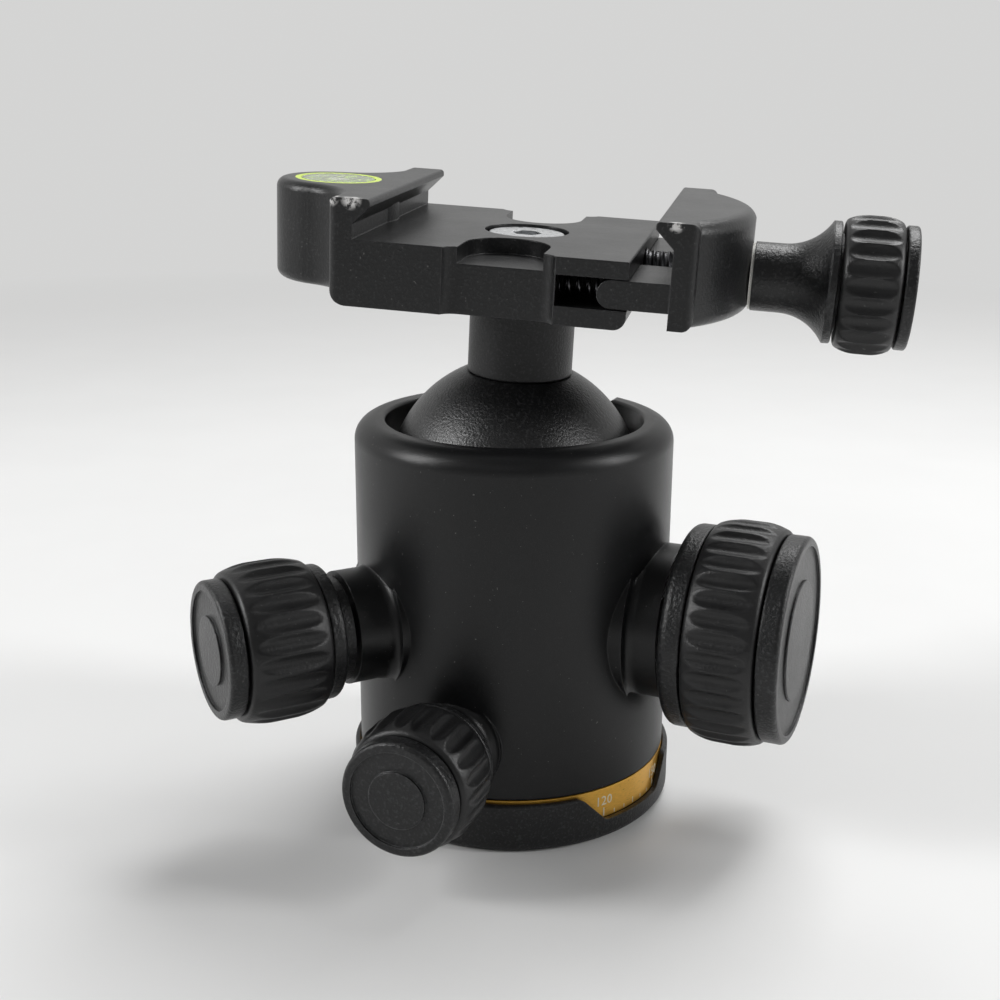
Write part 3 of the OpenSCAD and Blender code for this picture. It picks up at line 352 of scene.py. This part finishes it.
DRESS = {
    "body": ["housing"],
    "clamp": ["clamp_base", "moving_jaw"],
    "blasted": ["ball"],
    "stem": ["stem"],
    "base": ["base_disc", "pan_bearing"],
    "knob": [
        "clamp_knob_hub", "clamp_knob_cap", "main_hub", "main_cap_plate", "main_cap_disc",
        "friction_hub", "friction_cap_plate", "pan_hub", "pan_cap_plate",
    ],
    "rubber": ["clamp_knob_grip", "main_grip_ring", "friction_grip_ring", "pan_grip_ring"],
    "steel": [
        "base_screws", "pan_spindle", "thrust_washer", "spindle_nut", "lower_cup", "disc_springs",
        "anti_twist_pin", "centre_bolt", "clamp_clip", "main_stud", "friction_stud", "pan_stud",
    ],
    "spring": ["jaw_springs"],
    "screw": ["clamp_screw"],
    "brass": ["main_bush", "friction_bush", "pan_bush", "main_tip", "friction_tip", "pan_tip"],
    "gold": ["degree_ring"],
    "plastic": ["pan_washer", "upper_seat", "seat_liner", "clamp_washer_ring"],
    "cup": ["level_cup"],
    "liquid": ["level_fluid"],
    "bubble": ["level_bubble"],
    "lens": ["level_lens"],
}


def dress(node, material):
    o = NODES[node]
    o.data.materials.clear()
    o.data.materials.append(material)


for key, names in DRESS.items():
    for node_name in names:
        dress(node_name, M[key])

# ---------------------------------------------------------------- pieces


def add_mesh(name, points_mm, faces, material, body, at=None, replaces=(), flat_angle=None):
    """A closed mesh of millimetre points, placed by the matrix at, riding on body."""
    me = bpy.data.meshes.new(name)
    place = at or Matrix.Identity(4)
    pts = np.asarray(points_mm, float).reshape(-1, 3) * MM
    rot = np.array(place.to_3x3())
    pts = pts @ rot.T + np.array(place.translation)
    me.from_pydata(pts.tolist(), [], faces)
    me.validate()
    me.polygons.foreach_set("use_smooth", [True] * len(me.polygons))
    me.materials.append(material)
    o = bpy.data.objects.new(name, me)
    bpy.context.scene.collection.objects.link(o)
    if flat_angle is not None:
        me.set_sharp_from_angle(angle=math.radians(flat_angle))
    if body:
        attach(o, body)
    if replaces:
        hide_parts(*replaces)
    return o


def grid_faces(rows, cols, wrap_rows=False, wrap_cols=True):
    faces = []
    for i in range(rows if wrap_rows else rows - 1):
        for j in range(cols if wrap_cols else cols - 1):
            a, b = i * cols + j, i * cols + (j + 1) % cols
            c, d = ((i + 1) % rows) * cols + (j + 1) % cols, ((i + 1) % rows) * cols + j
            faces.append((a, b, c, d))
    return faces


def smooth_min(a, b, k):
    h = np.clip(0.5 + 0.5 * (b - a) / k, 0, 1)
    return b * (1 - h) + a * h - k * h * (1 - h)


BARREL = 0.9
FLUTE_R = 1.5
FLUTE_D = 0.55
END_ROUND = 0.45


def fluted_grip(name, at, r, drum, length, flutes, body, node):
    """Barrel-shaped rubber ring with pointed flutes, each softened along its edges."""
    per_flute, rows = 14, 46
    straight = length * 0.24
    arc = ((length - straight) ** 2 / 4 + BARREL**2) / (2 * BARREL)
    theta = np.linspace(0, 2 * np.pi, flutes * per_flute, endpoint=False)
    turn = np.pi / flutes
    phi = (theta - turn) % (2 * np.pi / flutes)
    phi = np.minimum(phi, 2 * np.pi / flutes - phi)
    centre = r - FLUTE_D + FLUTE_R
    inside = FLUTE_R**2 - (centre * np.sin(phi)) ** 2
    cut = np.where(inside > 0, centre * np.cos(phi) - np.sqrt(np.maximum(inside, 0)), r + 1)
    loop = []
    ease = 0.5 - 0.5 * np.cos(np.linspace(0, np.pi, rows))
    for z in ease * length:
        past = max(0.0, abs(z - length / 2) - straight / 2)
        top = r - arc + math.sqrt(arc * arc - past * past)
        edge = min(z, length - z)
        if edge < END_ROUND:
            top -= END_ROUND - math.sqrt(END_ROUND**2 - (END_ROUND - edge) ** 2)
        ring = smooth_min(np.full_like(theta, top), cut, 0.10)
        loop.append((ring, z))
    for z in (length, 0.0):
        loop.append((np.full_like(theta, drum), z))
    x, y = np.cos(theta), np.sin(theta)
    points = np.concatenate(
        [np.stack([ring * x, ring * y, np.full_like(theta, z)], 1) for ring, z in loop]
    )
    faces = grid_faces(len(loop), len(theta), wrap_rows=True)
    return add_mesh(name, points, faces, M["rubber"], body, at, (node,), flat_angle=50)


def shifted(at, along):
    return at @ Matrix.Translation(Vector((0, 0, along)) * MM)


MAIN = outwards(MAIN_AZ, MAIN_Z)
FRICTION = outwards(FRICTION_AZ, FRICTION_Z)
PAN = outwards(PAN_AZ, PAN_Z)
GROOVE = 0.22

# name, axis, start and outer radius, drum radius, length, flutes, body, CAD node
GRIPS = [
    (
        "main_grip_rubber", MAIN, BODY_R + 2.75 + 0.9 + 0.1 + 3.1 + GROOVE,
        15.5, 11.67, 9.7, 36, "main_knob", "main_grip_ring",
    ),
    (
        "friction_grip_rubber", FRICTION, BODY_R + 4.6 + 0.5 + 1.8 + 2.1 + GROOVE,
        10.9, 6.77, 11.2, 25, "friction_knob", "friction_grip_ring",
    ),
    (
        "pan_grip_rubber", PAN, BODY_R + 2.0 + 0.5 + 1.25 + 1.3 + GROOVE,
        9.0, 5.42, 8.8, 22, "pan_knob", "pan_grip_ring",
    ),
    (
        "clamp_grip_rubber", SCREW, 40.49 + 1.1 + GROOVE + 0.1,
        9.05, 6.42, 7.6, 24, "clamp_knob", "clamp_knob_grip",
    ),
]
for name, at, start, r, drum, length, flutes, body, node_name in GRIPS:
    fluted_grip(name, shifted(at, start), r, drum, length, flutes, body, node_name)


def tube(path, radius, sides):
    """Points and faces of a capped tube along a path of points."""
    path = np.asarray(path, float)
    tangent = np.gradient(path, axis=0)
    tangent /= np.linalg.norm(tangent, axis=1)[:, None]
    side = np.cross(tangent, (0, 0, 1.0))
    side /= np.linalg.norm(side, axis=1)[:, None]
    other = np.cross(tangent, side)
    a = np.linspace(0, 2 * np.pi, sides, endpoint=False)
    c, s = np.cos(a)[None, :, None], np.sin(a)[None, :, None]
    rings = path[:, None, :] + radius * (c * side[:, None, :] + s * other[:, None, :])
    faces = grid_faces(len(path), sides)
    faces.append(tuple(range(sides))[::-1])
    faces.append(tuple(range((len(path) - 1) * sides, len(path) * sides)))
    return rings.reshape(-1, 3), faces


def coil_path(length, radius, wire, turns):
    t = np.linspace(0, turns, int(turns * 28) + 1)
    dead = 0.75
    stations = [wire / 2, wire * 1.25, length - wire * 1.25, length - wire / 2]
    z = np.interp(t, [0, dead, turns - dead, turns], stations)
    a = 2 * np.pi * t
    return np.stack([radius * np.cos(a), radius * np.sin(a), z], 1)


COIL_FROM, COIL_TO = 1.4, 12.3
COIL_V = 14.1
COIL_R, COIL_WIRE, COIL_TURNS = 1.25, 0.45, 9
TONGUE_DROP = 4.15

for label, side in (("front", -1), ("back", 1)):
    points, faces = tube(coil_path(COIL_TO - COIL_FROM, COIL_R, COIL_WIRE, COIL_TURNS), COIL_WIRE / 2, 10)
    at = PLATE @ Matrix.Translation(Vector((COIL_FROM, side * COIL_V, -TONGUE_DROP)) * MM)
    at = at @ Matrix.Rotation(math.pi / 2, 4, "Y")
    name = f"jaw_spring_{label}"
    spring = add_mesh(name, points, faces, M["spring"], None, at, ("jaw_springs",))
    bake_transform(spring)


def thread_points(r_out, depth, pitch, low, high, per_turn=36, steps=8):
    """A rod with a rounded helical thread between low and high."""
    rows = int((high - low) / pitch * steps) + 1
    z = np.linspace(low, high, rows)
    a = np.linspace(0, 2 * np.pi, per_turn, endpoint=False)
    phase = (z[:, None] / pitch - a[None, :] / (2 * np.pi)) % 1
    shape = np.clip(np.abs(phase - 0.5) * 2.6 - 0.45, 0, 1)
    fade = np.clip(np.minimum(z - low, high - z) / pitch, 0, 1)[:, None]
    r = r_out - depth * (1 - shape * fade)
    pts = np.stack([r * np.cos(a), r * np.sin(a), np.repeat(z[:, None], per_turn, 1)], 2).reshape(-1, 3)
    faces = grid_faces(rows, per_turn)
    faces.append(tuple(range(per_turn))[::-1])
    faces.append(tuple(range((rows - 1) * per_turn, rows * per_turn)))
    return pts, faces


THREAD_R, THREAD_DEPTH, THREAD_PITCH = 2.5, 0.42, 1.0
THREAD_FROM, THREAD_TO = 11.25, 38.0
points, faces = thread_points(THREAD_R, THREAD_DEPTH, THREAD_PITCH, THREAD_FROM, THREAD_TO)
add_mesh(
    "clamp_screw_thread", points, faces, M["screw"], "clamp_knob", SCREW, ("clamp_screw",)
)

def box_faces(n):
    faces = []
    for k in range(n):
        a = 8 * k
        for f in ((0, 1, 3, 2), (4, 6, 7, 5), (0, 4, 5, 1), (2, 3, 7, 6), (0, 2, 6, 4), (1, 5, 7, 3)):
            faces.append(tuple(a + i for i in f))
    return faces


RING_R = BODY_R - 0.02
MARK_IN, MARK_OUT = 0.03, 0.025
FIRST_MARK = 5
TICK_Z = 3.25
NUMBER_Z, NUMBER_SIZE = 5.55, 2.0


def on_ring(az, z, out):
    """az in degrees from -Y towards +X."""
    a = math.radians(az)
    return ((RING_R + out) * math.sin(a), -(RING_R + out) * math.cos(a), z)


def dial_ticks():
    points = []
    for k in range(72):
        az = FIRST_MARK + 5 * k
        tall = 1.25 if k % 6 == 0 else 0.85 if k % 3 == 0 else 0.55
        half = 0.26 if k % 6 == 0 else 0.18
        for out in (-MARK_IN, MARK_OUT):
            for z in (TICK_Z, TICK_Z + tall):
                for s in (-half, half):
                    points.append(on_ring(az + s, z, out))
    return points, box_faces(72)


def dial_numbers():
    """Plain numbers every 30 degrees, wrapped onto the ring."""
    points, faces = [], []
    for k in range(12):
        curve = bpy.data.curves.new("number", "FONT")
        curve.body = str(30 * ((k + 3) % 12))
        curve.size = NUMBER_SIZE
        curve.align_x, curve.align_y = "CENTER", "CENTER"
        curve.resolution_u = 2
        curve.extrude = (MARK_IN + MARK_OUT) / 2
        o = bpy.data.objects.new("number", curve)
        bpy.context.scene.collection.objects.link(o)
        bpy.context.view_layer.update()
        me = bpy.data.meshes.new_from_object(o.evaluated_get(bpy.context.evaluated_depsgraph_get()))
        start = len(points)
        for v in me.vertices:
            x, y, z = v.co
            az = FIRST_MARK + 30 * k + math.degrees(x / RING_R)
            points.append(on_ring(az, NUMBER_Z + y, z + (MARK_OUT - MARK_IN) / 2))
        faces += [tuple(start + i for i in p.vertices) for p in me.polygons]
        bpy.data.objects.remove(o)
        bpy.data.meshes.remove(me)
        bpy.data.curves.remove(curve)
    return points, faces


for name, (points, faces) in (("dial_ticks", dial_ticks()), ("dial_numbers", dial_numbers())):
    add_mesh(name, points, faces, M["marks"], "housing", flat_angle=40)


def torus(r, wire, z, rows=64, sides=8):
    t = np.linspace(0, 2 * np.pi, rows, endpoint=False)[:, None]
    a = np.linspace(0, 2 * np.pi, sides, endpoint=False)[None, :]
    d = r + wire * np.cos(a)
    pts = np.stack([d * np.cos(t), d * np.sin(t), z + wire * np.sin(a) + 0 * t], 2).reshape(-1, 3)
    return pts, grid_faces(rows, sides, wrap_rows=True)


LEVEL_U = -26.7
CIRCLE_R, CIRCLE_WIRE, CIRCLE_W = 2.15, 0.10, 4.02
LEVEL = PLATE @ Matrix.Translation(Vector((LEVEL_U, 0, 0)) * MM)
points, faces = torus(CIRCLE_R, CIRCLE_WIRE, CIRCLE_W)
add_mesh("level_circle", points, faces, M["line"], "clamp", LEVEL)

# ---------------------------------------------------------------- floor and lights

PALE = (0.66, 0.66, 0.655)


def pale_rays(tree, kinds=("Is Camera Ray", "Is Glossy Ray", "Is Transmission Ray")):
    """1 for the rays that show the background."""
    path = tree.nodes.new("ShaderNodeLightPath")
    out = path.outputs[kinds[0]]
    for name in kinds[1:]:
        both = tree.nodes.new("ShaderNodeMath")
        both.operation = "MAXIMUM"
        tree.links.new(out, both.inputs[0])
        tree.links.new(path.outputs[name], both.inputs[1])
        out = both.outputs[0]
    return out


def add_floor():
    size = 4.0
    me = bpy.data.meshes.new("floor")
    corners = [(-size, -size, 0), (size, -size, 0), (size, size, 0), (-size, size, 0)]
    me.from_pydata(corners, [], [(0, 1, 2, 3)])
    floor = bpy.data.objects.new("floor", me)
    bpy.context.scene.collection.objects.link(floor)
    g = Graph("floor").set(Metallic=0.0, Specular_IOR_Level=0.2)
    n = g.noise(30.0, 3.0, 0.5)
    tone = g.mix(n, (0.76, 0.76, 0.755), (0.80, 0.80, 0.795))
    me.materials.append(g.finish(tone, g.ramp(n, (0.0, 0.75), (1.0, 0.85))))
    away = g.node("ShaderNodeVectorMath", operation="LENGTH")
    g.link(g.coords, away.inputs[0])
    far = g.ramp(away.outputs["Value"], (0.22, 0.0), (0.62, 1.0))
    glow = g.node("ShaderNodeEmission")
    glow.inputs["Color"].default_value = (*PALE, 1)
    mixer = g.node("ShaderNodeMixShader")
    g.link(g.math("MULTIPLY", far, pale_rays(g.tree)), mixer.inputs[0])
    g.link(g.shader.outputs[0], mixer.inputs[1])
    g.link(glow.outputs[0], mixer.inputs[2])
    g.link(mixer.outputs[0], g.tree.nodes["Material Output"].inputs["Surface"])


def add_world():
    world = bpy.data.worlds.new("world")
    bpy.context.scene.world = world
    world.use_nodes = True
    tree = world.node_tree
    tree.nodes.clear()
    out = tree.nodes.new("ShaderNodeOutputWorld")
    light, pale, mirrored = (tree.nodes.new("ShaderNodeBackground") for _ in range(3))
    light.inputs["Color"].default_value = (1, 1, 1, 1)
    light.inputs["Strength"].default_value = 0.14
    for n in (pale, mirrored):
        n.inputs["Color"].default_value = (*PALE, 1)
    # The room is darker on the side away from the backdrop, as gloss shows it.
    way = tree.nodes.new("ShaderNodeSeparateXYZ")
    room = tree.nodes.new("ShaderNodeMapRange")
    for name, value in (("From Min", -0.35), ("From Max", 0.35), ("To Min", 0.18), ("To Max", 1.0)):
        room.inputs[name].default_value = value
    tree.links.new(tree.nodes.new("ShaderNodeTexCoord").outputs["Generated"], way.inputs[0])
    tree.links.new(way.outputs["Y"], room.inputs["Value"])
    tree.links.new(room.outputs[0], mirrored.inputs["Strength"])
    shown = light
    for kinds, n in ((("Is Glossy Ray",), mirrored), (("Is Camera Ray", "Is Transmission Ray"), pale)):
        mixer = tree.nodes.new("ShaderNodeMixShader")
        tree.links.new(pale_rays(tree, kinds), mixer.inputs[0])
        tree.links.new(shown.outputs[0], mixer.inputs[1])
        tree.links.new(n.outputs[0], mixer.inputs[2])
        shown = mixer
    tree.links.new(shown.outputs[0], out.inputs[0])


def add_light(name, at, size, power, aim=(0, 0, 0.045)):
    data = bpy.data.lights.new(name, "AREA")
    data.shape = "RECTANGLE"
    data.size, data.size_y = size
    data.energy = power
    o = bpy.data.objects.new(name, data)
    o.location = at
    o.rotation_euler = (Vector(aim) - Vector(at)).to_track_quat("-Z", "Y").to_euler()
    bpy.context.scene.collection.objects.link(o)


add_floor()
add_world()
# name, place in metres, size in metres, power in watts
LIGHTS = [
    ("key_top", (0.22, 0.32, 0.70), (0.45, 0.35), 4.3),
    ("left", (-0.60, -0.14, 0.36), (0.20, 0.36), 3.0),
    ("right", (0.62, -0.12, 0.34), (0.14, 0.34), 2.2),
    ("front", (-0.15, -0.75, 0.55), (0.5, 0.3), 0.2),
]
for light in LIGHTS:
    add_light(*light)

bpy.context.scene.view_settings.view_transform = "Standard"
